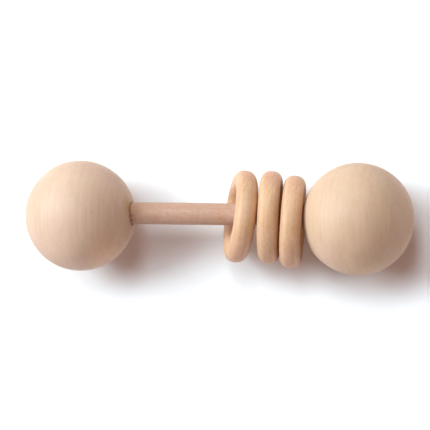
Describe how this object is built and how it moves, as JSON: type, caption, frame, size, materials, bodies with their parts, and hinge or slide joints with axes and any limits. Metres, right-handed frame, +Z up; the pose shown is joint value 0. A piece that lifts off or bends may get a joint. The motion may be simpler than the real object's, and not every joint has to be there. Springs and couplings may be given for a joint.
{
  "type": "baby rattle",
  "caption": "Dumbbell-shaped wooden baby rattle: a round ball on each end of a short dowel handle, with loose wooden rings that slide along the dowel and click together.",
  "frame": {"origin": "on the table, under the middle of the rattle, halfway between the balls", "axes": "+X runs along the rattle from the left ball to the right ball, with the rings gathered at the right ball. +Z is up from the table. +Y completes the right-handed frame, and is the side the dowel is drilled off centre towards"},
  "size_m": [0.142, 0.04, 0.04],
  "materials": {
    "ball_wood": "pale maple, sanded smooth, unvarnished satin",
    "dowel_wood": "pinkish brown beech, sanded, fine pores along the dowel",
    "ring_wood": "warm tan beech, sanded smooth, soft satin"
  },
  "bodies": {
    "handle": {"left_ball": "ball_wood", "right_ball": "ball_wood", "dowel": "dowel_wood"},
    "right_ring": {"ring_right": "ring_wood"},
    "middle_ring": {"ring_middle": "ring_wood"},
    "left_ring": {"ring_left": "ring_wood"}
  },
  "joints": [
    {"name": "rings_slide", "type": "slide", "parent": "handle", "child": "right_ring", "axis": [1, 0, 0], "range_m": [-0.0175, 0]},
    {"name": "middle_ring_slide", "type": "slide", "parent": "right_ring", "child": "middle_ring", "axis": [1, 0, 0], "range_m": [-0.009, 0]},
    {"name": "left_ring_slide", "type": "slide", "parent": "middle_ring", "child": "left_ring", "axis": [1, 0, 0], "range_m": [-0.009, 0]}
  ]
}
